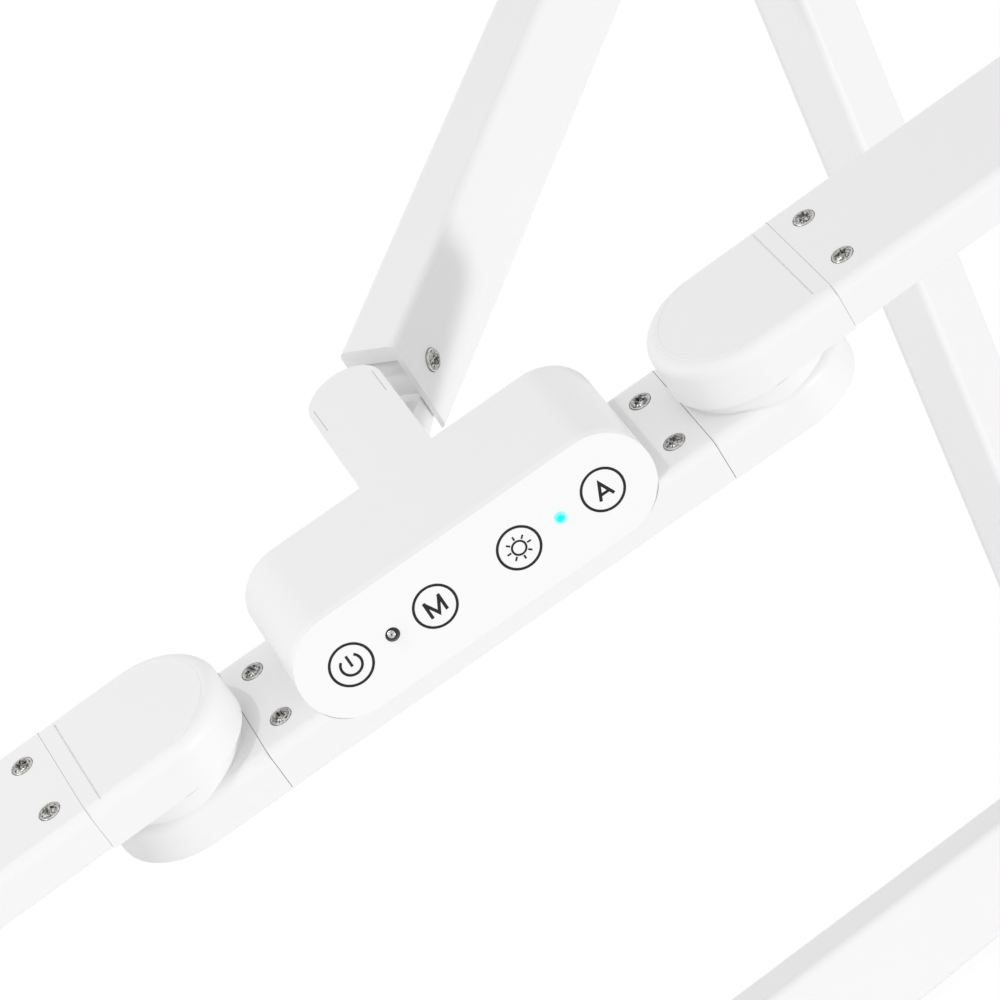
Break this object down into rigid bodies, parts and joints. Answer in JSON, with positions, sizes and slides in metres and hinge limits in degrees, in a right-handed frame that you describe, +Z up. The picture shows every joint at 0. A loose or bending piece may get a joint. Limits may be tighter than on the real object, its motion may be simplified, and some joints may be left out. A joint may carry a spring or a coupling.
{
  "type": "light therapy lamp",
  "caption": "White light therapy lamp: a central light bar with a touch panel, swing-out light wings, and a jointed arm on a tee-shaped table base.",
  "frame": {"origin": "on the table, under the middle of the rubber pad of the base's front crossbar", "axes": "+Z up, +Y backwards along the base's spine towards the arm's foot, +X to the user's right along the crossbar"},
  "size_m": [0.5684, 0.6381, 0.3654],
  "materials": {
    "white_aluminium": "satin white powder coat over aluminium",
    "white_steel": "satin white powder coat over steel tube",
    "white_housing": "satin white moulded plastic",
    "white_panel": "smooth white touch panel with dark printed key rings",
    "white_caps": "white moulded plugs and collars",
    "milky_diffuser": "milky white light diffuser",
    "led_boards": "white strip board with light chips",
    "circuit_board": "green circuit board",
    "dark_lens": "dark glossy sensor dome",
    "cyan_lens": "cyan indicator light",
    "nickel_screws": "bright nickel-plated screws",
    "plated_steel": "zinc-plated steel",
    "nylon": "natural nylon washers",
    "black_plastic": "black moulded plastic",
    "rubber_pads": "dark grey rubber"
  },
  "bodies": {
    "base": {"base_spine": "white_steel", "base_crossbar": "white_steel", "foot_bracket": "white_aluminium", "tee_block": "white_caps", "base_screws": "nickel_screws", "spine_weight": "plated_steel", "crossbar_weights": "plated_steel", "rear_cap": "white_caps", "foot_caps": "white_caps", "power_inlet": "black_plastic", "crossbar_pad": "rubber_pads", "rear_pad": "rubber_pads", "foot_bolt": "nickel_screws", "foot_nut": "plated_steel", "foot_washers": "nylon"},
    "lower_arm": {"lower_arm_tube": "white_steel", "foot_tongue": "white_aluminium", "elbow_fork": "white_aluminium", "elbow_bolt": "nickel_screws", "elbow_nut": "plated_steel", "elbow_washers": "nylon"},
    "upper_arm": {"upper_arm_tube": "white_steel", "upper_arm_collar": "white_caps", "elbow_tongue": "white_aluminium", "tilt_bolt": "nickel_screws", "tilt_nut": "plated_steel", "tilt_washers": "nylon"},
    "swivel": {"swivel_block": "white_aluminium", "swivel_washer": "nylon"},
    "head": {"central_bar": "white_aluminium", "central_led_strip": "led_boards", "central_diffuser": "milky_diffuser", "right_inner_lug": "white_aluminium", "left_inner_lug": "white_aluminium", "lug_screws": "nickel_screws", "control_housing": "white_housing", "control_panel": "white_panel", "touch_board": "circuit_board", "sensor_lens": "dark_lens", "indicator_lens": "cyan_lens", "knuckle_bracket": "white_aluminium", "housing_screws": "nickel_screws", "swivel_pin": "plated_steel"},
    "right_wing": {"right_wing_bar": "white_aluminium", "right_outer_lug": "white_aluminium", "right_swing_pin": "plated_steel", "right_swing_washer": "nylon", "right_led_strip": "led_boards", "right_diffuser": "milky_diffuser", "right_end_cap": "white_caps", "right_wing_screws": "nickel_screws"},
    "left_wing": {"left_wing_bar": "white_aluminium", "left_outer_lug": "white_aluminium", "left_swing_pin": "plated_steel", "left_swing_washer": "nylon", "left_led_strip": "led_boards", "left_diffuser": "milky_diffuser", "left_end_cap": "white_caps", "left_wing_screws": "nickel_screws"}
  },
  "joints": [
    {"name": "lower_arm_tilt", "type": "hinge", "parent": "base", "child": "lower_arm", "pos_m": [0, 0.4137, 0.0615], "axis": [1, 0, 0], "range_deg": [-40, 9]},
    {"name": "elbow_bend", "type": "hinge", "parent": "lower_arm", "child": "upper_arm", "pos_m": [0, 0.29425, 0.35189], "axis": [1, 0, 0], "range_deg": [-60, 11]},
    {"name": "head_tilt", "type": "hinge", "parent": "upper_arm", "child": "swivel", "pos_m": [0, 0.09293, 0.2194], "axis": [-1, 0, 0], "range_deg": [-25, 15]},
    {"name": "head_swivel", "type": "hinge", "parent": "swivel", "child": "head", "pos_m": [0, 0.07621, 0.20289], "axis": [0, 0.5498, -0.8353], "range_deg": [-45, 130]},
    {"name": "right_wing_swing", "type": "hinge", "parent": "head", "child": "right_wing", "pos_m": [0.09164, 0.08895, 0.21127], "axis": [0, -0.5498, 0.8353], "range_deg": [-90, 30]},
    {"name": "left_wing_swing", "type": "hinge", "parent": "head", "child": "left_wing", "pos_m": [-0.0224, 0.00089, 0.15332], "axis": [0, -0.5498, 0.8353], "range_deg": [-30, 90]}
  ]
}
